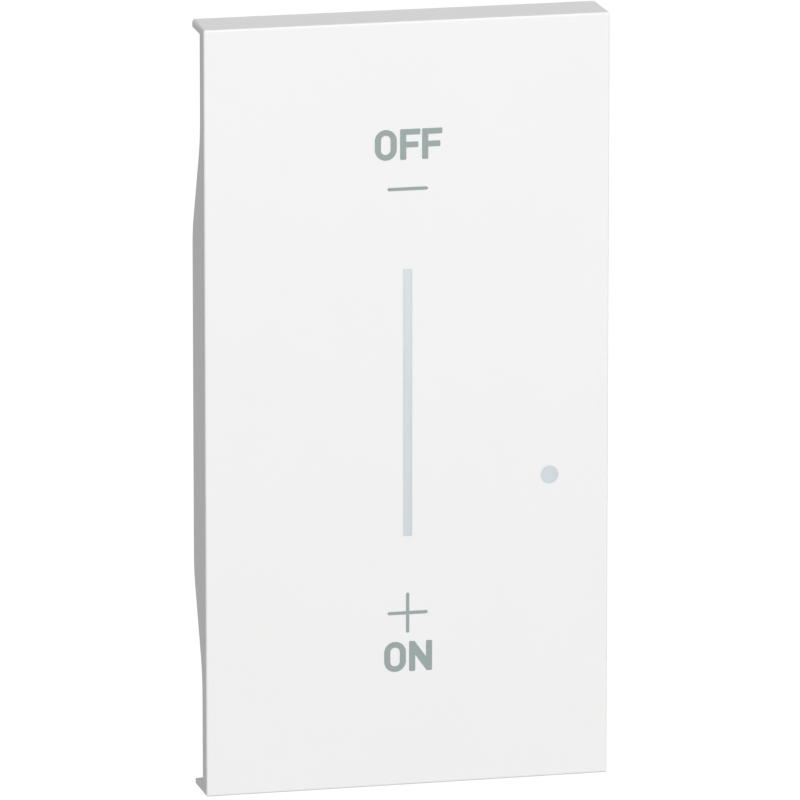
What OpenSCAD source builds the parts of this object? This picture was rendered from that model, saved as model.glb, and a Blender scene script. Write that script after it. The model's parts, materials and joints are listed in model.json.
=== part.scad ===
// Wall dimmer switch: a rocking front cover with a light bar, on a flush module held by a metal strap.
// Axes: +X to the right, +Y into the wall, +Z up. The origin is the middle of the strap's back face.

/* [Cover] */
// Width of the cover, two 22.5 mm modules
cover_w = 45; // [44.6:0.1:46]
// Height of the cover
cover_h = 85; // [84:0.5:87]
// Depth of the cover, from its face to the back of its lips
cover_d = 6; // [5.95:0.05:6.25]
// Thickness of the cover's face
face_t = 1.5; // [1.3:0.1:1.6]
// Depth of the rim along the shallow stretches of the sides
rim_d = 1.95; // [1.85:0.05:2.5]
// Thickness of the side walls
wall_t = 1.1; // [0.9:0.1:1.2]
// Thickness of the top and bottom lips
lip_t = 0.8; // [0.7:0.1:1.1]
// Rounding of the face's edges
edge_r = 0.2; // [0.15:0.05:0.4]
// Rounding of the face's corners
corner_r = 0.5; // [0.4:0.05:0.7]
// Rounding of each lip's back corners, seen from above
lip_corner_r = 0.4; // [0.3:0.05:0.5]
// Rounding of each lip's back edge, seen from the side
lip_end_r = 0.3; // [0.1:0.05:0.35]
// How far each lip leans outwards at its back
lip_lean = 0.2; // [0:0.05:0.25]
// Height above the middle where the sides start to get shallower
deep_z = 17.3; // [16.5:0.1:18]
// Slope of the sides between their deep and shallow stretches, in degrees
side_slope = 20.6; // [18:0.1:24]

/* [Marks and light] */
// Height of the middle of the marks and of the side walls' slopes, above the cover's middle
marks_z = 0.5; // [0:0.1:0.6]
// Height of the light bar's middle above the cover's middle
bar_z = 0.35; // [0:0.05:0.5]
// Width of the light bar
bar_w = 1; // [0.8:0.05:1.4]
// Length of the light bar
bar_h = 29.7; // [28:0.1:30]
// Diameter of the indicator
dot_d = 2; // [1.8:0.1:2.4]
// Place of the indicator, right of the middle
dot_x = 15.9; // [15.5:0.1:16]
// Place of the indicator, above the middle
dot_z = -8.5; // [-10:0.05:-8]
// Distance from the marks' middle to the minus and plus signs
sign_z = 23.6; // [23:0.1:24]
// Length of a sign's strokes
sign_len = 4.5; // [4:0.1:5]
// Distance from the marks' middle to the middle of the words
word_z = 28.5; // [28:0.1:29]
// Height of the words' capitals
cap_h = 3.37; // [3:0.01:3.6]
// Width of the words' strokes
word_stroke = 0.68; // [0.5:0.01:0.8]
// Thickness of the printed ink
ink_t = 0.03; // [0.02:0.01:0.05]

/* [Rocker and strap] */
// Largest tilt of the cover each way, in degrees
tilt = 2; // [1:0.5:2]
// Height of the plungers above and below the pivot
plunger_z = 18; // [18:0.1:18.1]
// Thickness of the mounting strap
strap_t = 1.2; // [1:0.1:1.2]
// Width of the mounting strap
strap_w = 40; // [39.6:0.2:40.4]
// Height of the mounting strap
strap_h = 71; // [69:0.5:72]
// Distance between the two fixing holes, as on a round wall box
fixing_pitch = 60; // [60:1:60]
// Diameter of the fixing holes
fixing_d = 3.6; // [3.4:0.1:4.2]

/* [Module] */
// Depth of the wide part of the rear housing
wide_d = 8; // [8:0.1:8.2]
// Depth of the whole rear housing
body_d = 22; // [22:0.1:24]
// Thickness of the housing walls
shell_t = 1.4; // [1.2:0.1:1.4]
// Distance between neighbouring terminals
terminal_pitch = 7; // [7:0.1:7.1]
// Diameter of the wire entries
wire_d = 3.4; // [3:0.1:3.4]

/* [Hidden] */
$fn = 48;
TERMINALS = ["live", "neutral", "load", "remote"];

eps = 0.01;
cut = 1; // how far a cutter runs past what it cuts

// Depth planes, from the front backwards
skirt_gap = 1.15; // from the back of the cover to the front of the strap
face_y = -strap_t - skirt_gap - cover_d;
plate_back_y = face_y + face_t;
flange_t = 0.8; // hidden flange of the light bar and the indicator
frame_y = plate_back_y + 1.15;
frame_t = 1.4;
frame_back_y = frame_y + frame_t;
pivot_y = frame_back_y - 0.1;
pad_t = 0.27;
plate_y = frame_back_y + 1;
plate_t = -strap_t - plate_y;
lug_recess = 1.1; // how deep the plate is hollowed for the rocker's lugs
board_y = 4.1;
board_t = 1;
power_y = 8.6;
power_t = 1.2;
parts_y = power_y + power_t; // components of the power board stand on this plane
rear_inner_y = body_d - shell_t;

// Rocker
frame_w = 37.2;
frame_h = 44;
light_slot = [4.4, 31.6];
lug_r = 1.9;
lug_t = 1.6;
pin_r = 0.8;
pin_play = 0.05;
ear_x = frame_w / 2 + 0.4;
ear_t = 1.4;
ear_foot = 2.4; // half the height of an ear's foot
hook_x = 12;
hook_z = 12;
hook_w = 4;
hook_t = 1;
hook_catch = 0.5;
hook_tip_y = frame_back_y + 0.4;
rib_x = 9;

// Plungers and springs
stroke = plunger_z * sin(tilt);
head_r = 2.2;
shaft_r = 1.3;
tip_y = frame_back_y + pad_t + 0.03;
head_back_y = -3;
guide_back_y = 1.6;
seat_y = 0.4;
pill_y = 2.75;
pill_back_y = board_y - 0.07 - stroke;
wire_r = 0.15; // of the springs
spring_r = 1.95;
spring_turns = 6;

// Housings
plate_w = 37.6;
plate_h = 49.6;
wide_w = 39;
wide_h = 50;
narrow_w = 32;
narrow_h = 40;
corner_screw = [16.8, 22.5];
screw_r = 1.1;
post = [13, 17];
window = [30, 42.6];
led_pitch = 3.6;
led_count = 8;
reflector = [6, 29.6];

// Terminals
screw_y = 15.5;
cage_w = 5.4;
cage_depth = 6;
cage_wall = 0.8;
cage_base_t = 1.2;
bar_top_z = -13.1;
bar_t = 0.8;
cage_top_z = -8.9;
cage_low_z = -15.3;
terminal_screw_r = 1.4;
screw_head_r = 2.1;
screw_tip_z = bar_top_z - bar_t - 0.05;
wire_z = -11.4;
entry_funnel = 0.6; // depth of the flared mouth of each wire entry

function terminal_x(i) = (i - (len(TERMINALS) - 1) / 2) * terminal_pitch;

// ---- helpers ----

// Extrudes an outline drawn in X and Z from depth y over t
module slab(y, t) {
    translate([0, y + t, 0]) rotate([90, 0, 0]) linear_extrude(t) children();
}

// Extrudes an outline drawn in Y and Z along X, from x over w
module across(x, w) {
    translate([x, 0, 0]) rotate([90, 0, 90]) linear_extrude(w) children();
}

// Round bar along Y
module bar_y(x, z, y, t, r, r2 = undef) {
    translate([x, y, z]) rotate([-90, 0, 0]) cylinder(h = t, r1 = r, r2 = is_undef(r2) ? r : r2);
}

// Block given by its middle in X and Z, its size in X and Z, and its span in Y
module block(x, z, w, h, y, t) {
    translate([x - w / 2, y, z - h / 2]) cube([w, t, h]);
}

module rounded_rect(w, h, r) {
    square([w - 2 * r, h], center = true);
    square([w, h - 2 * r], center = true);
    for (x = [-1, 1], z = [-1, 1]) translate([x * (w / 2 - r), z * (h / 2 - r)]) circle(r);
}

// Straight stroke with round ends between two points
module stroke_line(a, b, w) {
    d = b - a;
    translate(a) rotate(atan2(d[1], d[0])) {
        translate([0, -w / 2]) square([norm(d), w]);
        circle(w / 2);
        translate([norm(d), 0]) circle(w / 2);
    }
}

// Copies its children above and below the middle
module up_and_down() {
    children();
    mirror([0, 0, 1]) children();
}

module left_and_right() {
    children();
    mirror([1, 0, 0]) children();
}

// ---- cover and what rocks with it ----

arc_steps = 6;
thin_arc_r = 13; // where the slope runs out into the shallow stretch
deep_arc_r = 9; // where it leaves the deep stretch

// Height of a side wall's back edge over its deep and sloping stretches, as points [depth, z]
function side_edge() =
    let (drop = cover_d - rim_d,
         bend = 1 - cos(side_slope),
         ramp = (drop - (thin_arc_r + deep_arc_r) * bend) / tan(side_slope),
         ramp_z = deep_z + deep_arc_r * sin(side_slope),
         thin_z = ramp_z + ramp + thin_arc_r * sin(side_slope))
    concat(
        [for (i = [0:arc_steps]) let (a = side_slope * i / arc_steps)
            [face_y + cover_d - deep_arc_r * (1 - cos(a)), deep_z + deep_arc_r * sin(a)]],
        [for (i = [arc_steps:-1:0]) let (a = side_slope * i / arc_steps)
            [face_y + rim_d + thin_arc_r * (1 - cos(a)), thin_z - thin_arc_r * sin(a)]]);

// Height of the upper lip's inner surface at depth y
function lip_inner_z(y) = cover_h / 2 - lip_t + lip_lean * (y - face_y) / cover_d;

// What is cut off both side walls between the deep stretch and the upper lip, its slope raised by up
module side_relief(up) {
    back = face_y + cover_d + cut;
    edge = [for (p = side_edge()) [p[0], p[1] + up]];
    lip = [for (y = [face_y + rim_d, back]) [y, lip_inner_z(y)]];
    across(-cover_w, 2 * cover_w) polygon(concat([[back, deep_z + up]], edge, lip));
}

// Back edge of a lip in the side outline, from its outer surface to its end
function lip_end() =
    [for (i = [0:arc_steps]) let (a = 90 * i / arc_steps)
        [face_y + cover_d - lip_end_r * (1 - sin(a)), cover_h / 2 + lip_lean - lip_end_r * (1 - cos(a))]];

// Outline of the cover seen from the side, in depth and height
module cover_side_outline() {
    z = cover_h / 2;
    front = face_y + edge_r;
    for (side = [-1, 1])
        polygon(concat(
            [[front, 0], [front, side * z]],
            [for (p = lip_end()) [p[0], side * p[1]]],
            [[face_y + cover_d, 0]]));
    translate([face_y, edge_r - z]) square([edge_r + eps, 2 * (z - edge_r)]);
    for (side = [-1, 1]) translate([front, side * (z - edge_r)]) circle(edge_r);
}

// Outline of the cover seen from above, with its back corners rounded by r
module cover_top_outline(r) {
    x = cover_w / 2;
    back = face_y + cover_d;
    translate([-x, face_y + edge_r]) square([2 * x, cover_d - edge_r - r]);
    translate([edge_r - x, face_y]) square([2 * (x - edge_r), 2 * edge_r]);
    translate([r - x, back - 2 * r - eps]) square([2 * (x - r), 2 * r + eps]);
    for (side = [-1, 1]) {
        translate([side * (x - edge_r), face_y + edge_r]) circle(edge_r);
        if (r > 0) translate([side * (x - r), back - r]) circle(r);
    }
}

module cover_body() {
    whole_h = cover_h + 2 * lip_lean;
    middle_h = cover_h - 4 * lip_t;
    difference() {
        intersection() {
            across(-cover_w / 2 - cut, cover_w + 2 * cut) cover_side_outline();
            slab(face_y - cut, cover_d + 2 * cut) rounded_rect(cover_w, whole_h, corner_r);
            union() {
                translate([0, 0, -whole_h / 2 - cut])
                    linear_extrude(whole_h + 2 * cut) cover_top_outline(lip_corner_r);
                translate([0, 0, -middle_h / 2]) linear_extrude(middle_h) cover_top_outline(0);
            }
        }
        across(wall_t - cover_w / 2, cover_w - 2 * wall_t) polygon(
            [for (c = [[0, -1], [0, 1], [cover_d, 1], [cover_d, -1]])
                let (y = plate_back_y + c[0]) [y, c[1] * lip_inner_z(y)]]);
        side_relief(marks_z);
        mirror([0, 0, 1]) side_relief(-marks_z);
    }
}

// Snap hook that holds the cover on the rocker frame
module cover_hook() {
    translate([0, 0, hook_z - hook_w / 2]) linear_extrude(hook_w)
        polygon([[hook_x, plate_back_y - eps], [hook_x + hook_t, plate_back_y - eps],
                 [hook_x + hook_t, frame_back_y + 0.02],
                 [hook_x + hook_t + hook_catch, frame_back_y + 0.02],
                 [hook_x + hook_t, hook_tip_y], [hook_x, hook_tip_y]]);
}

module cover_shell() {
    color("white") difference() {
        union() {
            cover_body();
            up_and_down() left_and_right() cover_hook();
            left_and_right() block(rib_x, 0, 1, 36, plate_back_y - eps, frame_y - plate_back_y);
            up_and_down() block(0, 25.5, 34, 1, plate_back_y - eps, 1.4);
        }
        slab(face_y - cut, face_t + 2 * cut) translate([0, bar_z])
            square([bar_w, bar_h], center = true);
        bar_y(dot_x, dot_z, face_y - cut, face_t + 2 * cut, dot_d / 2);
    }
}

module light_bar() {
    color("lightsteelblue") {
        slab(face_y, face_t) translate([0, bar_z]) square([bar_w, bar_h], center = true);
        slab(plate_back_y, flange_t) translate([0, bar_z])
            square([bar_w + 1.6, bar_h + 1.2], center = true);
    }
}

module indicator_lens() {
    color("lightsteelblue") {
        bar_y(dot_x, dot_z, face_y, face_t, dot_d / 2);
        bar_y(dot_x, dot_z, plate_back_y, flange_t, dot_d / 2 + 0.6);
        bar_y(dot_x, dot_z, plate_back_y + flange_t, 1.2, dot_d / 2);
    }
}

module ink() {
    color("darkseagreen") slab(face_y - ink_t, ink_t) children();
}

// Capital O, a ring with round ends, drawn about its middle
module letter_o(w) {
    r = w / 2;
    inner = r - word_stroke;
    difference() {
        rounded_rect(w, cap_h, r - eps);
        rounded_rect(w - 2 * word_stroke, cap_h - 2 * arm_stroke, inner - eps);
    }
}

// Straight bar of a letter with slightly softened corners, from its lower left corner
module letter_bar(x, z, w, h) {
    translate([x + w / 2, z + h / 2]) rounded_rect(w, h, letter_soft);
}

// Capital F, drawn from the left edge of its stem
module letter_f(w) {
    half = cap_h / 2;
    letter_bar(0, -half, word_stroke, cap_h);
    letter_bar(0, half - arm_stroke, w, arm_stroke);
    letter_bar(0, letter_f_z - arm_stroke / 2, w - letter_f_step, arm_stroke);
}

// Capital N, drawn from the left edge of its left stem
module letter_n(w) {
    half = cap_h / 2;
    s = word_stroke;
    near = letter_n_lead;
    far = half - (w - s / 2 - near) * letter_n_slope;
    for (x = [0, w - s]) letter_bar(x, -half, s, cap_h);
    polygon([[s / 2, half], [near, half], [w - s / 2, far],
             [w - s / 2, -half], [w - near, -half], [s / 2, -far]]);
}

letter_w = 2.43;
letter_f_w = 2.24;
letter_n_w = 2.57;
arm_stroke = 0.63; // width of the letters' level strokes
letter_soft = 0.12; // rounding of the letters' corners
letter_f_z = -0.03; // height of the F's middle arm
letter_f_step = 0.22; // how much shorter that arm is
letter_n_lead = 0.6; // where the N's diagonal leaves the top of its stem
letter_n_slope = 1.41; // height to width of that diagonal

module off_legend() {
    ink() translate([0, marks_z + word_z]) {
        translate([-2.43, 0]) letter_o(letter_w);
        translate([-0.84, 0]) letter_f(letter_f_w);
        translate([1.6, 0]) letter_f(letter_f_w);
    }
}

module on_legend() {
    ink() translate([0, marks_z - word_z]) {
        translate([-1.41, 0]) letter_o(letter_w);
        translate([0.17, 0]) letter_n(letter_n_w);
    }
}

sign_stroke = 0.36;
sign_half = (sign_len - sign_stroke) / 2;

module minus_mark() {
    ink() translate([0, marks_z + sign_z]) stroke_line([-sign_half, 0], [sign_half, 0], sign_stroke);
}

module plus_mark() {
    ink() translate([0, marks_z - sign_z]) {
        stroke_line([-sign_half, 0], [sign_half, 0], sign_stroke);
        stroke_line([0, -sign_half], [0, sign_half], sign_stroke);
    }
}

// Frame that the cover clips to. Its side lugs turn on the pivot pins.
module rocker_frame() {
    color("gainsboro") difference() {
        union() {
            slab(frame_y, frame_t) rounded_rect(frame_w, frame_h, 2);
            left_and_right() translate([frame_w / 2 - lug_t, pivot_y, 0])
                rotate([0, 90, 0]) cylinder(h = lug_t, r = lug_r);
            up_and_down() bar_y(0, plunger_z, frame_back_y - eps, pad_t + eps, 2.3);
        }
        slab(frame_y - cut, frame_t + 2 * cut) translate([0, bar_z]) square(light_slot, center = true);
        up_and_down() left_and_right()
            block(hook_x + hook_t / 2, hook_z, hook_t + 0.2, hook_w + 0.4,
                  frame_y - cut, frame_t + 2 * cut);
        bar_y(dot_x, dot_z, frame_y - cut, frame_t + 2 * cut, 1.7);
        translate([-frame_w, pivot_y, 0]) rotate([0, 90, 0])
            cylinder(h = 2 * frame_w, r = pin_r + pin_play);
    }
}

module pivot_pin() {
    color("silver") translate([frame_w / 2 - lug_t, pivot_y, 0]) rotate([0, 90, 0])
        cylinder(h = ear_x + ear_t - frame_w / 2 + lug_t, r = pin_r);
}

module right_pivot_pin() {
    pivot_pin();
}

module left_pivot_pin() {
    mirror([1, 0, 0]) pivot_pin();
}

// ---- plungers, contacts and springs ----

module plunger(z) {
    color("ivory") {
        bar_y(0, z, tip_y, 0.4, 0.6, head_r);
        bar_y(0, z, tip_y + 0.4, head_back_y - tip_y - 0.4, head_r);
        bar_y(0, z, head_back_y, pill_y - head_back_y, shaft_r);
        bar_y(0, z, pill_y - 0.4, 0.4, shaft_r + 0.35);
    }
}

module upper_plunger() {
    plunger(plunger_z);
}

module lower_plunger() {
    plunger(-plunger_z);
}

module contact_pill(z) {
    color("dimgray") bar_y(0, z, pill_y, pill_back_y - pill_y, 1.5);
}

module upper_contact_pill() {
    contact_pill(plunger_z);
}

module lower_contact_pill() {
    contact_pill(-plunger_z);
}

// Ring i of the spring's wire, around the helix
function spring_ring(i, sides, per_turn, len) =
    let (a = 360 * i / per_turn, y = wire_r + (len - 2 * wire_r) * i / (spring_turns * per_turn))
    [for (k = [0:sides - 1]) let (b = 360 * k / sides, r = spring_r + wire_r * cos(b))
        [r * cos(a), y + wire_r * sin(b), r * sin(a)]];

module spring(z) {
    sides = 6;
    per_turn = 12;
    rings = spring_turns * per_turn;
    len = seat_y - head_back_y;
    points = [for (i = [0:rings]) each spring_ring(i, sides, per_turn, len)];
    walls = [for (i = [0:rings - 1], k = [0:sides - 1])
        let (n = (k + 1) % sides, a = i * sides, b = a + sides)
        [a + k, b + k, b + n, a + n]];
    caps = [[for (k = [0:sides - 1]) k], [for (k = [sides - 1:-1:0]) rings * sides + k]];
    color("silver") translate([0, head_back_y, z]) polyhedron(points, concat(walls, caps));
}

module upper_spring() {
    spring(plunger_z);
}

module lower_spring() {
    spring(-plunger_z);
}

// ---- strap and housings ----

module corners() {
    up_and_down() left_and_right() children();
}

module mounting_strap() {
    color("silver") slab(-strap_t, strap_t) difference() {
        rounded_rect(strap_w, strap_h, 3);
        square(window, center = true);
        for (z = [-1, 1]) translate([0, z * fixing_pitch / 2]) circle(fixing_d / 2);
        for (x = [-1, 1], z = [-1, 1]) {
            translate([x * corner_screw[0], z * corner_screw[1]]) circle(screw_r + 0.15);
            translate([x * 12, z * 30]) square([2, 5], center = true);
        }
        translate([dot_x, dot_z]) circle(1.7);
    }
}

module pivot_ear() {
    translate([ear_x, 0, 0]) {
        translate([0, pivot_y, 0]) rotate([0, 90, 0]) cylinder(h = ear_t, r = lug_r);
        translate([0, pivot_y + 0.9, -ear_foot]) cube([ear_t, -strap_t - pivot_y - 0.9, 2 * ear_foot]);
    }
}

// Plate in front of the strap that carries the pivot, guides the plungers and holds the reflector
module front_housing() {
    reach = ear_x + ear_t;
    color("gray") difference() {
        union() {
            slab(plate_y, plate_t) rounded_rect(plate_w, plate_h, 2.5);
            block(0, 0, 2 * reach, 2 * ear_foot, plate_y + lug_recess + 0.1, plate_t - lug_recess - 0.1);
            left_and_right() pivot_ear();
            up_and_down() bar_y(0, plunger_z, plate_y, guide_back_y - plate_y, 3.05);
            corners() bar_y(post[0], post[1], -strap_t - eps, board_y + strap_t + eps, 1.5);
        }
        left_and_right()
            block(frame_w / 2 - lug_t / 2, 0, lug_t + 0.6, 2 * lug_r + 0.8,
                  plate_y - cut, cut + lug_recess);
        translate([-reach - cut, pivot_y, 0]) rotate([0, 90, 0])
            cylinder(h = 2 * (reach + cut), r = pin_r);
        block(0, 0, reflector[0], reflector[1], plate_y - cut, plate_t + 2 * cut);
        up_and_down() bar_y(0, plunger_z, plate_y - cut, seat_y - plate_y + cut, head_r + 0.3);
        up_and_down()
            bar_y(0, plunger_z, seat_y - cut, guide_back_y - seat_y + 2 * cut, shaft_r + pin_play);
        corners() bar_y(corner_screw[0], corner_screw[1], plate_y + 0.2, plate_t + cut, screw_r);
        bar_y(dot_x, dot_z, plate_y - cut, plate_t + 2 * cut, 1.1);
    }
}

// Openings for air in the top wall and the wires and screws of the terminals
module rear_housing_cuts() {
    for (i = [-3:3]) block(i * 3.6, narrow_h / 2, 1.4, 3 * shell_t, 11.5, 7);
    for (i = [0:len(TERMINALS) - 1]) {
        bar_y(terminal_x(i), wire_z, 17.5, body_d, wire_d / 2);
        bar_y(terminal_x(i), wire_z, body_d - entry_funnel, entry_funnel + eps,
              wire_d / 2, wire_d / 2 + entry_funnel);
        translate([terminal_x(i), screw_y, -narrow_h / 2 - cut])
            cylinder(h = shell_t + 2 * cut, r = screw_head_r + pin_play);
    }
    corners() bar_y(corner_screw[0], corner_screw[1], -cut, wide_d + 2 * cut, screw_r + 0.1);
    block(0, -3, 10, 1.6, body_d - 0.5, cut + 0.5);
}

// Block with its corners rounded by r and its back edges cut at 45 degrees by c
module backed_block(w, h, y, t, r, c) {
    x = w / 2;
    z = h / 2;
    intersection() {
        slab(y, t) rounded_rect(w, h, r);
        across(-x, w)
            polygon([[y, -z], [y + t - c, -z], [y + t, c - z], [y + t, z - c], [y + t - c, z], [y, z]]);
        translate([0, 0, -z]) linear_extrude(h)
            polygon([[-x, y], [-x, y + t - c], [c - x, y + t], [x - c, y + t], [x, y + t - c], [x, y]]);
    }
}

module rear_housing() {
    inner_w = narrow_w - 2 * shell_t;
    inner_h = narrow_h - 2 * shell_t;
    color("dimgray") difference() {
        union() {
            difference() {
                union() {
                    backed_block(wide_w, wide_h, 0, wide_d, 3, 0.6);
                    backed_block(narrow_w, narrow_h, wide_d - eps, body_d - wide_d + eps, 2, 0.8);
                    left_and_right() for (z = [-8, 0, 8]) block(narrow_w / 2, z, 1, 1.2, wide_d - eps, 12);
                }
                block(0, 0, wide_w - 2 * shell_t, wide_h - 2 * shell_t, -cut, wide_d - shell_t + cut);
                block(0, 0, inner_w, inner_h, 0, rear_inner_y);
            }
            corners() bar_y(corner_screw[0], corner_screw[1], 0, wide_d, 2.3);
            left_and_right() up_and_down()
                block(16.6, 9, 2, 6, board_y + board_t, wide_d - shell_t - board_y - board_t + eps);
            corners() block(inner_w / 2 - 0.2, 6, 0.8, 1.2, parts_y, rear_inner_y - parts_y + eps);
            block(0, wire_z, inner_w + eps, 5.6, 19, rear_inner_y - 19 + eps);
            for (i = [-1:1])
                block(i * terminal_pitch, -13.6, 1, 10.2, parts_y + 0.2, rear_inner_y - parts_y);
        }
        rear_housing_cuts();
    }
}

// Recessed cross in a screw head: two slots at right angles, cut down from z = 0
module cross_recess(w, len, depth) {
    for (a = [0, 90]) rotate(a) translate([-len / 2, -w / 2, -depth]) cube([len, w, depth + cut]);
}

module housing_screws() {
    color("silver") corners() translate([corner_screw[0], 0, corner_screw[1]])
        rotate([-90, 0, 0]) difference() {
            union() {
                translate([0, 0, plate_y + 0.3]) cylinder(h = wide_d - plate_y - 0.3, r = screw_r);
                translate([0, 0, wide_d]) cylinder(h = 1, r = 1.9);
                translate([0, 0, wide_d + 1]) cylinder(h = 0.5, r1 = 1.9, r2 = 1.3);
            }
            translate([0, 0, wide_d + 1.5]) cross_recess(0.5, 2, 0.9);
        }
}

// ---- light guides and control board ----

module led_reflector() {
    color("white") difference() {
        block(0, 0, reflector[0], reflector[1], plate_y, 3.2 - plate_y);
        for (i = [0:led_count - 1])
            block(0, (i - (led_count - 1) / 2) * led_pitch, 3, led_pitch - 0.6,
                  plate_y - cut, 3.2 - plate_y + 2 * cut);
    }
}

module status_light_pipe() {
    color("aliceblue") bar_y(dot_x, dot_z, plate_y, 3.1 - plate_y, 1.1);
}

module control_board() {
    color("seagreen") slab(board_y, board_t) rounded_rect(34.8, 39.4, 1);
}

module level_leds() {
    color("lemonchiffon") for (i = [0:led_count - 1])
        block(0, (i - (led_count - 1) / 2) * led_pitch, 1.6, 1, board_y - 0.7, 0.7);
}

module status_led() {
    color("lemonchiffon") block(dot_x, dot_z, 1.6, 1, board_y - 0.7, 0.7);
}

module contact_pads() {
    color("gold") up_and_down() for (i = [-2:2]) block(i * 0.7, plunger_z, 0.4, 3, board_y - 0.05, 0.05);
}

module microcontroller() {
    color("dimgray") block(-8, 4, 5, 5, board_y + board_t, 0.9);
}

module control_board_parts() {
    color("tan") {
        for (i = [0:4]) block(-13 + i * 2.4, -3, 1, 1.6, board_y + board_t, 0.6);
        for (i = [0:5]) block(3 + i * 2.1, 7.5, 1.2, 0.8, board_y + board_t, 0.5);
        for (i = [0:2]) block(6.5 + i * 3, -6, 1.6, 2.6, board_y + board_t, 0.9);
    }
}

module board_connector() {
    color("dimgray") block(0, 16, 15.4, 2.5, board_y + board_t, power_y - board_y - board_t);
}

// ---- power board ----

choke = [-7.6, 1.4]; // middle of the choke, across and up
turn_t = 0.7; // thickness of its wire

module power_board() {
    color("seagreen") slab(power_y, power_t) rounded_rect(28.8, 36.8, 1);
}

module power_transistors() {
    color("dimgray") left_and_right() block(6, 12.6, 6.6, 6.2, parts_y, 2.3);
}

module thermal_pad() {
    color("lightgray") left_and_right() block(6, 12.6, 6.6, 6.2, parts_y + 2.3, 0.5);
}

module heat_spreader() {
    y = parts_y + 2.8;
    color("silver") {
        block(0, 12.6, 22, 7, y, 1.5);
        block(0, 16.85, 22, 1.5, y, 6);
    }
}

module choke_core() {
    color("dimgray") translate([choke[0], parts_y + turn_t, choke[1]])
        rotate([-90, 0, 0]) difference() {
            cylinder(h = 4.6, r = 5);
            translate([0, 0, -cut]) cylinder(h = 4.6 + 2 * cut, r = 2.6);
        }
}

// Copper turns round the ring core, each a closed loop of square wire
module choke_winding() {
    color("peru") translate([choke[0], parts_y + turn_t, choke[1]])
        for (i = [0:11]) rotate([0, 30 * i + 15, 0]) difference() {
            translate([2.5 - turn_t, -turn_t, -turn_t / 2])
                cube([2.6 + 2 * turn_t, 4.6 + 2 * turn_t, turn_t]);
            translate([2.5, 0, -turn_t]) cube([2.6, 4.6, 2 * turn_t]);
        }
}

module film_capacitor() {
    color("khaki") block(6.8, 4.6, 12.6, 5.4, parts_y, 9.4);
}

module electrolytic_capacitor() {
    color("steelblue") bar_y(3.9, -3.2, parts_y, 9, 3.1);
}

module fuse() {
    color("ivory") {
        translate([8.2, parts_y + 2, -1]) rotate([0, 90, 0]) cylinder(h = 5.4, r = 1.3);
        for (x = [9, 12.8]) bar_y(x, -1, parts_y, 1.2, 0.35);
    }
}

module varistor() {
    color("royalblue") {
        translate([10.6, parts_y + 4, -6.6]) cylinder(h = 2.6, r = 3);
        for (x = [9.4, 11.8]) bar_y(x, -5.3, parts_y, 1.6, 0.35);
    }
}

// ---- terminals ----

module terminal_bars() {
    color("peru") for (i = [0:len(TERMINALS) - 1])
        block(terminal_x(i), bar_top_z - bar_t / 2, 3.4, bar_t, parts_y, 8.8);
}

module terminal_screw(i) {
    head_z = -narrow_h / 2 + 0.2;
    head_t = 1.5;
    color("silver") translate([terminal_x(i), screw_y, 0]) difference() {
        union() {
            translate([0, 0, head_z]) cylinder(h = head_t, r = screw_head_r);
            translate([0, 0, head_z + head_t])
                cylinder(h = screw_tip_z - head_z - head_t, r = terminal_screw_r);
        }
        translate([0, 0, head_z]) mirror([0, 0, 1]) cross_recess(0.7, 3.2, 0.9);
    }
}

// Clamp that rises along its screw and pulls the wire against the terminal bar
module terminal_cage(i) {
    color("darkgray") difference() {
        block(terminal_x(i), (cage_low_z + cage_top_z) / 2, cage_w, cage_top_z - cage_low_z,
              screw_y - cage_depth / 2, cage_depth);
        translate([terminal_x(i) - cage_w / 2 + cage_wall, screw_y - cage_depth, cage_low_z + cage_base_t])
            cube([cage_w - 2 * cage_wall, 2 * cage_depth,
                  cage_top_z - cage_low_z - cage_base_t - cage_wall]);
        translate([terminal_x(i), screw_y, cage_low_z - cut])
            cylinder(h = cage_base_t + 2 * cut, r = terminal_screw_r + pin_play);
    }
}

// ---- nodes ----

cover_shell();
light_bar();
indicator_lens();
off_legend();
minus_mark();
plus_mark();
on_legend();
rocker_frame();
left_pivot_pin();
right_pivot_pin();
upper_plunger();
lower_plunger();
upper_contact_pill();
lower_contact_pill();
upper_spring();
lower_spring();
mounting_strap();
front_housing();
rear_housing();
housing_screws();
led_reflector();
status_light_pipe();
control_board();
level_leds();
status_led();
contact_pads();
microcontroller();
control_board_parts();
board_connector();
power_board();
power_transistors();
thermal_pad();
heat_spreader();
choke_core();
choke_winding();
film_capacitor();
electrolytic_capacitor();
fuse();
varistor();
terminal_bars();
for (i = [0:len(TERMINALS) - 1]) {
    terminal_screw(i);
    terminal_cage(i);
}
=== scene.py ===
import json
import math

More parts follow.
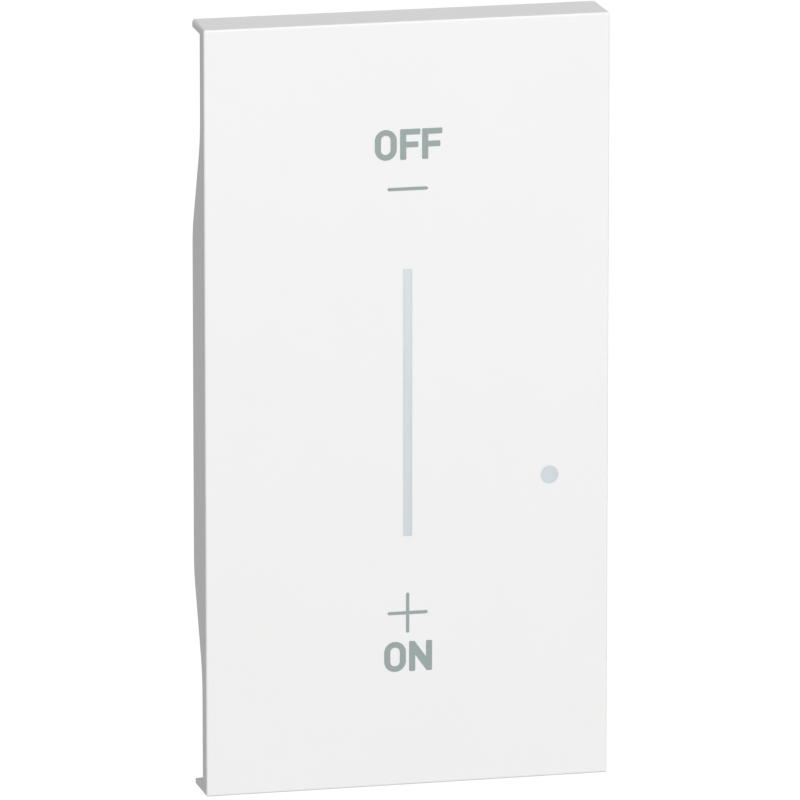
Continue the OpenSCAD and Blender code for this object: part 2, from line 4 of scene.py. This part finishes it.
import bmesh
import bpy
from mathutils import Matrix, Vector


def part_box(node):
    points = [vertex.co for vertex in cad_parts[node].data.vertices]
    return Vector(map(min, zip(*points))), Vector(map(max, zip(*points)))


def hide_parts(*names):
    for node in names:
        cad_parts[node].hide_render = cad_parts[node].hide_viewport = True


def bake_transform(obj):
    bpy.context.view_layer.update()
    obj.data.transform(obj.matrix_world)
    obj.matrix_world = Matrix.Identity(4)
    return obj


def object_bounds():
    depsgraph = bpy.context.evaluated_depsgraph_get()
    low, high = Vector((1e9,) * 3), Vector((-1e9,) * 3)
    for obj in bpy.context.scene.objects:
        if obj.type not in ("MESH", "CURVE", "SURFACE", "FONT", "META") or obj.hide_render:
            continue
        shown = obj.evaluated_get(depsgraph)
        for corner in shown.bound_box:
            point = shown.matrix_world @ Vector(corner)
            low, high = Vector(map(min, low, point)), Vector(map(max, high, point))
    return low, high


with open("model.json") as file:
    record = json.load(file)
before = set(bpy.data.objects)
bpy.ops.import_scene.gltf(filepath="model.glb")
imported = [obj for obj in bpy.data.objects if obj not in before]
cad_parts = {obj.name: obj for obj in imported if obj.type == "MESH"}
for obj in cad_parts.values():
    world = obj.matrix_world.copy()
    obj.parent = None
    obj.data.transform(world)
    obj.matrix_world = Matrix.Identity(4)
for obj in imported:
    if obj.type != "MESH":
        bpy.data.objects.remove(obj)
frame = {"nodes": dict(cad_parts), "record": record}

CAD_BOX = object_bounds()
NODES = frame["nodes"]
MM = 0.001

# ---- camera: far away with a long lens, left of the cover and above it ----

YAW = math.radians(13.45)
PITCH = math.radians(13.0)
DISTANCE = 1164 * MM
FACE_RIGHT = 0.83 * MM  # from the middle of the picture to the middle of the cover's face
FACE_DOWN = 0.665 * MM
LENS = 482.7  # in millimetres, like the sensor
SENSOR = 36
CLIP_START = 0.05
CLIP_END = 50


def make_camera():
    low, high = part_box("cover_shell")
    face = Vector(((low.x + high.x) / 2, low.y, (low.z + high.z) / 2))
    right = Vector((math.cos(YAW), -math.sin(YAW), 0))
    level = Vector((math.sin(YAW), math.cos(YAW), 0))
    forward = math.cos(PITCH) * level - math.sin(PITCH) * Vector((0, 0, 1))
    down = forward.cross(right)
    data = bpy.data.cameras.new("camera")
    data.sensor_width = SENSOR
    data.lens = LENS
    data.clip_start = CLIP_START
    data.clip_end = CLIP_END
    camera = bpy.data.objects.new("camera", data)
    camera.location = face - right * FACE_RIGHT - down * FACE_DOWN - forward * DISTANCE
    camera.rotation_euler = forward.to_track_quat("-Z", "Y").to_euler()
    bpy.context.scene.collection.objects.link(camera)
    bpy.context.scene.camera = camera


# ---- stage: a pale ground and backdrop, the ground low enough for views from below ----

GROUND_DROP = 1700 * MM
GROUND_REACH = 1.3
GROUND_GLOW = 0.90
GROUND_SHADE = 0.35
BACKDROP_RADIUS = 2.6
BACKDROP_GLOW = 1.02
BACKDROP_SHADE = 0.0


def glowing(name, glow, shade):
    """A pale material that gives off most of its brightness, so only soft shadows show on it."""
    material = bpy.data.materials.new(name)
    material.use_nodes = True
    shader = material.node_tree.nodes["Principled BSDF"]
    shader.inputs["Base Color"].default_value = (shade, shade, shade, 1)
    shader.inputs["Roughness"].default_value = 1
    shader.inputs["Emission Color"].default_value = (1, 1, 1, 1)
    shader.inputs["Emission Strength"].default_value = glow
    return material


def add_stage(name, mesh, glow, shade):
    """Adds a stage piece. The camera sees it, and no light comes off it onto the object."""
    piece = bpy.data.objects.new(name, mesh)
    piece.data.materials.append(glowing(name, glow, shade))
    piece.visible_diffuse = False
    piece.visible_glossy = False
    piece.visible_transmission = False
    piece.visible_shadow = False
    bpy.context.scene.collection.objects.link(piece)


def make_ground():
    low = CAD_BOX[0].z - GROUND_DROP
    around = ((-1, -1), (1, -1), (1, 1), (-1, 1))
    corners = [(x * GROUND_REACH, y * GROUND_REACH, low) for x, y in around]
    mesh = bpy.data.meshes.new("ground")
    mesh.from_pydata(corners, [], [(0, 1, 2, 3)])
    add_stage("ground", mesh, GROUND_GLOW, GROUND_SHADE)


def make_backdrop():
    ball = bmesh.new()
    bmesh.ops.create_icosphere(ball, subdivisions=3, radius=BACKDROP_RADIUS)
    bmesh.ops.reverse_faces(ball, faces=ball.faces)
    mesh = bpy.data.meshes.new("backdrop")
    ball.to_mesh(mesh)
    ball.free()
    add_stage("backdrop", mesh, BACKDROP_GLOW, BACKDROP_SHADE)


# ---- light: an even white surround and two softboxes aimed at the origin ----

AMBIENT = 0.415
SOFTBOXES = {  # metres and watts
    "key": dict(place=(0.1, -1.15, 0.66), size=(0.9, 0.7), power=14.2),
    "fill_behind": dict(place=(0.45, 1.25, -0.5), size=(1.2, 1.2), power=6.0),
}


def make_world():
    world = bpy.data.worlds.new("studio")
    bpy.context.scene.world = world
    world.use_nodes = True
    background = world.node_tree.nodes["Background"]
    background.inputs["Color"].default_value = (1, 1, 1, 1)
    background.inputs["Strength"].default_value = AMBIENT


def softbox(name, place, size, power):
    data = bpy.data.lights.new(name, "AREA")
    data.shape = "RECTANGLE"
    data.size, data.size_y = size
    data.energy = power
    lamp = bpy.data.objects.new(name, data)
    lamp.location = place
    lamp.rotation_euler = (-Vector(place)).to_track_quat("-Z", "Y").to_euler()
    lamp.visible_camera = False
    bpy.context.scene.collection.objects.link(lamp)


def make_lights():
    for name, settings in SOFTBOXES.items():
        softbox(name, **settings)


# ---- how a material is built ----

class Graph:
    """A new material and its node graph, with a Principled shader at the end."""

    def __init__(self, name):
        self.material = bpy.data.materials.new(name)
        self.material.use_nodes = True
        self.tree = self.material.node_tree
        self.shader = self.tree.nodes["Principled BSDF"]
        self.place = self.add("ShaderNodeTexCoord").outputs["Object"]

    def add(self, kind, **settings):
        node = self.tree.nodes.new(kind)
        for key, value in settings.items():
            setattr(node, key, value)
        return node

    def link(self, output, socket):
        self.tree.links.new(output, socket)

    def axes(self):
        """The coordinates of the place, as outputs named X, Y and Z."""
        node = self.add("ShaderNodeSeparateXYZ")
        self.link(self.place, node.inputs["Vector"])
        return node.outputs

    def noise(self, per_mm, detail=3, rough=0.5, stretch=(1, 1, 1)):
        """Noise with about per_mm features a millimetre, from 0 to 1."""
        scale = self.add("ShaderNodeMapping")
        scale.inputs["Scale"].default_value = tuple(axis * per_mm / MM for axis in stretch)
        self.link(self.place, scale.inputs["Vector"])
        node = self.add("ShaderNodeTexNoise")
        node.inputs["Scale"].default_value = 1
        node.inputs["Detail"].default_value = detail
        node.inputs["Roughness"].default_value = rough
        self.link(scale.outputs["Vector"], node.inputs["Vector"])
        return node.outputs["Fac"]

    def span(self, value, low, high, start=0.3, end=0.7):
        """Maps start..end of value onto low..high."""
        node = self.add("ShaderNodeMapRange")
        node.inputs["From Min"].default_value = start
        node.inputs["From Max"].default_value = end
        node.inputs["To Min"].default_value = low
        node.inputs["To Max"].default_value = high
        self.link(value, node.inputs["Value"])
        return node.outputs["Result"]

    def maths(self, operation, first, second=None):
        """One operation on an output, with a number or another output where it needs two."""
        node = self.add("ShaderNodeMath", operation=operation)
        self.link(first, node.inputs[0])
        if isinstance(second, bpy.types.NodeSocket):
            self.link(second, node.inputs[1])
        elif second is not None:
            node.inputs[1].default_value = second
        return node.outputs[0]

    def mix(self, share, first, second):
        """Goes from first to second as share goes from 0 to 1. Each can be an output or a value."""
        node = self.add("ShaderNodeMix", data_type="RGBA")
        sockets = node.inputs["Factor"], node.inputs[6], node.inputs[7]
        for entry, socket in zip((share, first, second), sockets):
            if isinstance(entry, bpy.types.NodeSocket):
                self.link(entry, socket)
            elif isinstance(entry, tuple):
                socket.default_value = (*entry, 1)
            else:
                socket.default_value = entry
        return node.outputs[2]

    def bump(self, value, height_mm):
        node = self.add("ShaderNodeBump")
        node.inputs["Strength"].default_value = 1
        node.inputs["Distance"].default_value = height_mm * MM
        self.link(value, node.inputs["Height"])
        return node.outputs["Normal"]

    def scatter(self, weight, radius, scale_mm):
        """Lets light scatter below the surface."""
        self.shader.inputs["Subsurface Weight"].default_value = weight
        self.shader.inputs["Subsurface Radius"].default_value = radius
        self.shader.inputs["Subsurface Scale"].default_value = scale_mm * MM

    def finish(self, colour, rough, normal):
        """Links the three outputs to the shader and returns the material."""
        self.link(colour, self.shader.inputs["Base Color"])
        self.link(rough, self.shader.inputs["Roughness"])
        self.link(normal, self.shader.inputs["Normal"])
        return self.material


def shaded(colour, factor):
    return tuple(min(1, channel * factor) for channel in colour)


# ---- moulded plastic ----

GRAIN_SHARE = 0.35  # in the colour, where the rest is clouds
GRAIN_ROUGH = 0.05
RUBBED_ROUGH = -0.08
PLASTIC_SCATTER = dict(radius=(1.0, 0.9, 0.8), scale_mm=0.6)


def moulded(name, colour, rough=0.45, grain=6, height=0.006, spread=0.03, specular=0.5, soft=0.0):
    """Moulded plastic: a fine eroded grain, faint cloudiness and a few rubbed spots."""
    graph = Graph(name)
    fine = graph.noise(grain, detail=4, rough=0.6)
    cloud = graph.noise(0.08)
    rub = graph.noise(0.5, detail=5, rough=0.7, stretch=(1, 1, 0.35))
    dark, light = shaded(colour, 1 - spread), shaded(colour, 1 + spread)
    clouds = graph.mix(graph.span(cloud, 0, 1), dark, light)
    grains = graph.mix(graph.span(fine, 0, 1), dark, light)
    grain_rough = graph.span(fine, rough - GRAIN_ROUGH, rough + GRAIN_ROUGH)
    rub_rough = graph.span(rub, 0, RUBBED_ROUGH, start=0.55, end=0.75)
    graph.shader.inputs["Specular IOR Level"].default_value = specular
    if soft:
        graph.scatter(soft, **PLASTIC_SCATTER)
    shine = graph.maths("ADD", grain_rough, rub_rough)
    return graph.finish(graph.mix(GRAIN_SHARE, clouds, grains), shine, graph.bump(fine, height))


MOULDED = {
    "cover_white": dict(
        colour=(0.853, 0.852, 0.851), rough=0.5, grain=9, height=0.0022, spread=0.006,
        specular=0.28, soft=0.05),
    "contact_rubber": dict(
        colour=(0.035, 0.035, 0.037), rough=0.75, grain=8, height=0.012, spread=0.2, specular=0.3),
    "frame_plastic": dict(colour=(0.74, 0.74, 0.73), rough=0.5, grain=5),
    "plunger_plastic": dict(colour=(0.78, 0.75, 0.66), rough=0.42, height=0.004, spread=0.04),
    "housing_grey": dict(colour=(0.40, 0.41, 0.42), rough=0.5, grain=5, height=0.008, spread=0.05),
    "housing_dark": dict(colour=(0.085, 0.088, 0.092), rough=0.48, grain=5, height=0.01, spread=0.1),
    "reflector_white": dict(colour=(0.85, 0.85, 0.83), rough=0.55, height=0.004, spread=0.02),
    "chip_black": dict(colour=(0.03, 0.03, 0.033), rough=0.5, grain=8, spread=0.15),
    "pad_grey": dict(colour=(0.42, 0.44, 0.48), rough=0.7, grain=5, height=0.01, spread=0.06),
    "film_box": dict(colour=(0.62, 0.48, 0.12), rough=0.32, grain=3, height=0.004, spread=0.05),
    "can_blue": dict(colour=(0.05, 0.12, 0.33), rough=0.3, grain=3, height=0.004, spread=0.08),
}

# ---- metal ----

SCUFF_SHADE = 0.7
LINE_ROUGH = 0.07


def plated(name, colour, rough, brush, tarnish=0.12, height=0.002):
    """Plated or drawn metal: fine lines, blotches of tarnish and scuffs.

    brush says how much closer the lines lie along X, Y and Z.
    """
    graph = Graph(name)
    lines = graph.noise(3, detail=4, rough=0.6, stretch=brush)
    blotch = graph.noise(0.25, detail=4, rough=0.6)
    dark, light = shaded(colour, 1 - tarnish), shaded(colour, 1 + tarnish / 3)
    tarnished = graph.mix(graph.span(blotch, 0, 1), dark, light)
    scuffs = graph.span(lines, 0, 0.5, start=0.6, end=0.8)
    scuffed = graph.mix(scuffs, tarnished, shaded(colour, SCUFF_SHADE))
    line_rough = graph.span(lines, rough - LINE_ROUGH, rough + LINE_ROUGH)
    blotch_rough = graph.span(blotch, -0.05, 0.1)
    graph.shader.inputs["Metallic"].default_value = 1
    return graph.finish(scuffed, graph.maths("ADD", line_rough, blotch_rough), graph.bump(lines, height))


PLATED = {
    "pin_steel": dict(colour=(0.62, 0.62, 0.62), rough=0.25, brush=(12, 1, 1)),
    "spring_steel": dict(colour=(0.58, 0.58, 0.59), rough=0.25, brush=(1, 12, 1)),
    "strap_steel": dict(
        colour=(0.66, 0.68, 0.70), rough=0.36, brush=(1, 1, 0.08), tarnish=0.14, height=0.0025),
    "screw_steel": dict(colour=(0.70, 0.68, 0.62), rough=0.28, brush=(1, 1, 1), tarnish=0.18),
    "gold": dict(colour=(0.90, 0.68, 0.28), rough=0.28, brush=(1, 1, 6)),
    "aluminium": dict(colour=(0.78, 0.79, 0.80), rough=0.34, brush=(1, 1, 8), tarnish=0.08),
    "copper": dict(colour=(0.80, 0.38, 0.20), rough=0.24, brush=(4, 4, 4), tarnish=0.15),
    "bar_brass": dict(colour=(0.83, 0.62, 0.27), rough=0.3, brush=(8, 1, 1), tarnish=0.14),
    "cage_steel": dict(colour=(0.52, 0.52, 0.53), rough=0.34, brush=(1, 1, 6), tarnish=0.16),
}

# ---- circuit board ----

TRACK_CELL = 4.5 * MM
TRACKS_A_CELL = 5
TRACK_SHADE = 1.3
TRACK_HEIGHT = 0.02  # mm
WEAVE_SHADE = 0.6


def board(name, colour):
    """Solder mask over copper: tracks laid in squares, raised under the green, and the glass weave."""
    graph = Graph(name)
    axes = graph.axes()
    flat = graph.add("ShaderNodeCombineXYZ")
    graph.link(axes["X"], flat.inputs["X"])
    graph.link(axes["Z"], flat.inputs["Y"])
    cells = graph.add("ShaderNodeTexVoronoi", voronoi_dimensions="2D", distance="CHEBYCHEV")
    cells.inputs["Scale"].default_value = 1 / TRACK_CELL
    graph.link(flat.outputs["Vector"], cells.inputs["Vector"])
    steps = graph.maths("FRACT", graph.maths("MULTIPLY", cells.outputs["Distance"], TRACKS_A_CELL))
    tracks = graph.span(steps, 0, 1, start=0.5, end=0.58)
    weave = graph.noise(2, detail=2, stretch=(1, 1, 4))
    tracked = graph.mix(tracks, colour, shaded(colour, TRACK_SHADE))
    woven = graph.mix(graph.span(weave, 0, 0.35), tracked, shaded(colour, WEAVE_SHADE))
    return graph.finish(woven, graph.span(weave, 0.28, 0.42), graph.bump(tracks, TRACK_HEIGHT))


BOARDS = {"board_green": dict(colour=(0.018, 0.11, 0.055))}

# ---- ceramic and dipped parts ----

PIN_MARK_SHADE = 0.5
PEEL_HEIGHT = 0.02  # mm


def fired(name, colour, rough=0.35):
    """Ceramic or dipped coating: orange-peel waves, pin marks and a glossy skin."""
    graph = Graph(name)
    peel = graph.noise(1.6, detail=2, rough=0.4)
    pits = graph.noise(5, detail=2)
    waved = graph.mix(graph.span(peel, 0, 1), shaded(colour, 0.9), shaded(colour, 1.08))
    pin_marks = graph.span(pits, 0, 0.6, start=0.68, end=0.8)
    pitted = graph.mix(pin_marks, waved, shaded(colour, PIN_MARK_SHADE))
    shine = graph.span(peel, rough - 0.06, rough + 0.08)
    return graph.finish(pitted, shine, graph.bump(peel, PEEL_HEIGHT))


FIRED = {
    "ceramic_tan": dict(colour=(0.50, 0.39, 0.28)),
    "ferrite": dict(colour=(0.06, 0.06, 0.065), rough=0.45),
    "ceramic_white": dict(colour=(0.80, 0.78, 0.73), rough=0.3),
    "disc_blue": dict(colour=(0.05, 0.16, 0.42), rough=0.3),
}

# ---- ink ----

INK_HEIGHT = 0.004  # mm


def printed_ink(name, colour, under):
    """Pad-printed ink: dense, matt, with worn spots where the surface under it shows."""
    graph = Graph(name)
    worn = graph.noise(3, detail=4, rough=0.7)
    thin = graph.noise(12, detail=2)
    dense = graph.mix(graph.span(thin, 0, 1), shaded(colour, 0.96), shaded(colour, 1.05))
    showing = graph.mix(graph.span(worn, 0, 0.35, start=0.6, end=0.8), dense, under)
    return graph.finish(showing, graph.span(thin, 0.5, 0.62), graph.bump(thin, INK_HEIGHT))


INKS = {"ink": dict(colour=(0.305, 0.365, 0.353), under=(0.7, 0.73, 0.72))}

# ---- light guides and lenses ----

CLOUDINESS = 0.015
# how far the painted shade of a light guide reaches above and below the origin
PAINTED_SHADE_REACH = 15 * MM  # above and below the origin
GUIDE_HEIGHT = 0.003  # mm, of the skin's unevenness
GUIDE_SCATTER = dict(weight=0.35, radius=(0.8, 0.9, 1.0), scale_mm=0.5)


def light_guide(name, colour, fade=0.0):
    """Milky light guide: light scatters inside it, under a smooth skin. Its colour can carry painted shade,
    lighter at its top and darker lower down, as if lit from above.
    """
    graph = Graph(name)
    cloud = graph.span(graph.noise(0.7, stretch=(1, 1, 0.3)), 0, 1)
    fine = graph.noise(8)
    # painted shade: the colour is lighter towards the top and darker lower down, as if lit from above
    height = graph.span(graph.axes()["Z"], 0, 1, start=-PAINTED_SHADE_REACH, end=PAINTED_SHADE_REACH)
    lower, upper = (
        graph.mix(cloud, shaded(colour, middle - CLOUDINESS), shaded(colour, middle + CLOUDINESS))
        for middle in (1 - fade, 1 + fade)
    )
    graph.scatter(**GUIDE_SCATTER)
    return graph.finish(graph.mix(height, lower, upper), graph.span(fine, 0.26, 0.36),
                        graph.bump(fine, GUIDE_HEIGHT))


GUIDES = {
    # painted shade: this guide is lighter at its top and darker lower down
    "light_guide": dict(colour=(0.655, 0.716, 0.741), fade=0.04),
    "clear_plastic": dict(colour=(0.76, 0.80, 0.83)),
    "led_resin": dict(colour=(0.83, 0.76, 0.42)),
}

# ---- every material slot of the record and its material ----

FINISHES = (
    (moulded, MOULDED), (plated, PLATED), (board, BOARDS), (fired, FIRED), (printed_ink, INKS),
    (light_guide, GUIDES),
)


def make_materials():
    """Makes every material and returns them by the name of their slot."""
    made = {}
    for make, finishes in FINISHES:
        for slot, finish in finishes.items():
            made[slot] = make(slot, **finish)
    return made


def paint_nodes(materials):
    for entry in frame["record"]["subparts"]:
        for slot in NODES[entry["node"]].material_slots:
            slot.material = materials[entry["material_slot"]]


# ---- return springs, which on the switch shorten and lengthen between the housing and their plunger; here each is one fixed coil that fills its CAD spring's box ----

WIRE_RADIUS = 0.15 * MM
SPRING_TURNS = 6
RINGS_A_TURN = 32
WIRE_SIDES = 12


def wire_ring(ring, low, high):
    """The corners of one ring of the wire, in a spring wound along Y that fills the box low..high."""
    rings = SPRING_TURNS * RINGS_A_TURN
    turn = math.tau * ring / RINGS_A_TURN
    travel = high.y - low.y - 2 * WIRE_RADIUS
    y = low.y + WIRE_RADIUS + travel * ring / rings
    middle = (low + high) / 2
    corners = []
    for side in range(WIRE_SIDES):
        around = math.tau * side / WIRE_SIDES
        reach = (high.x - low.x) / 2 + WIRE_RADIUS * (math.cos(around) - 1)
        x = middle.x + reach * math.cos(turn)
        z = middle.z + reach * math.sin(turn)
        corners.append((x, y + WIRE_RADIUS * math.sin(around), z))
    return corners


def spring_mesh(name, low, high):
    rings = SPRING_TURNS * RINGS_A_TURN + 1
    corners = [corner for ring in range(rings) for corner in wire_ring(ring, low, high)]
    last = (rings - 1) * WIRE_SIDES
    faces = [tuple(range(WIRE_SIDES - 1, -1, -1)), tuple(range(last, last + WIRE_SIDES))]
    for start in range(0, last, WIRE_SIDES):
        for side in range(WIRE_SIDES):
            here, beside = start + side, start + (side + 1) % WIRE_SIDES
            faces.append((here, beside, beside + WIRE_SIDES, here + WIRE_SIDES))
    mesh = bpy.data.meshes.new(name)
    mesh.from_pydata(corners, [], faces)
    mesh.shade_smooth()
    return mesh


def make_springs(steel):
    for end in ("upper", "lower"):
        node = f"{end}_spring"
        name = f"{end}_return_spring"
        low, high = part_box(node)
        spring = bpy.data.objects.new(name, spring_mesh(name, low, high))
        spring.data.materials.append(steel)
        bpy.context.scene.collection.objects.link(spring)
        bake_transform(spring)
        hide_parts(node)


# ---- edges: a small rounding along the sharp edges of the CAD's pieces, by its width in mm ----

EDGE = {
    "rocker_frame": 0.12, "mounting_strap": 0.1, "front_housing": 0.12, "rear_housing": 0.16,
    "housing_screws": 0.08, "led_reflector": 0.08, "microcontroller": 0.06,
    "control_board_parts": 0.06, "board_connector": 0.1, "control_board": 0.04, "power_board": 0.05,
    "power_transistors": 0.1, "thermal_pad": 0.1, "heat_spreader": 0.12, "choke_core": 0.3,
    "choke_winding": 0.16, "film_capacitor": 0.4, "electrolytic_capacitor": 0.35, "fuse": 0.15,
    "varistor": 0.6, "terminal_bars": 0.08, "level_leds": 0.05, "status_led": 0.05,
    "upper_contact_pill": 0.1, "lower_contact_pill": 0.1,
}
EDGE_BY_START = {"terminal_screw_": 0.1, "terminal_cage_": 0.12}
SHARP = math.radians(32)
EDGE_STEPS = 2
WELD = 0.001 * MM


def edge_width(name):
    for start, width in EDGE_BY_START.items():
        if name.startswith(start):
            return width
    return EDGE.get(name)


def round_edges():
    for name, piece in NODES.items():
        width = edge_width(name)
        if width is None:
            continue
        weld = piece.modifiers.new("weld", "WELD")
        weld.merge_threshold = WELD
        bevel = piece.modifiers.new("bevel", "BEVEL")
        bevel.width = width * MM
        bevel.segments = EDGE_STEPS
        bevel.limit_method = "ANGLE"
        bevel.angle_limit = SHARP
        bevel.miter_outer = "MITER_ARC"
        bevel.harden_normals = True


bpy.context.scene.view_settings.view_transform = "Standard"
make_camera()
make_ground()
make_backdrop()
make_world()
make_lights()
materials = make_materials()
paint_nodes(materials)
make_springs(materials["spring_steel"])
round_edges()
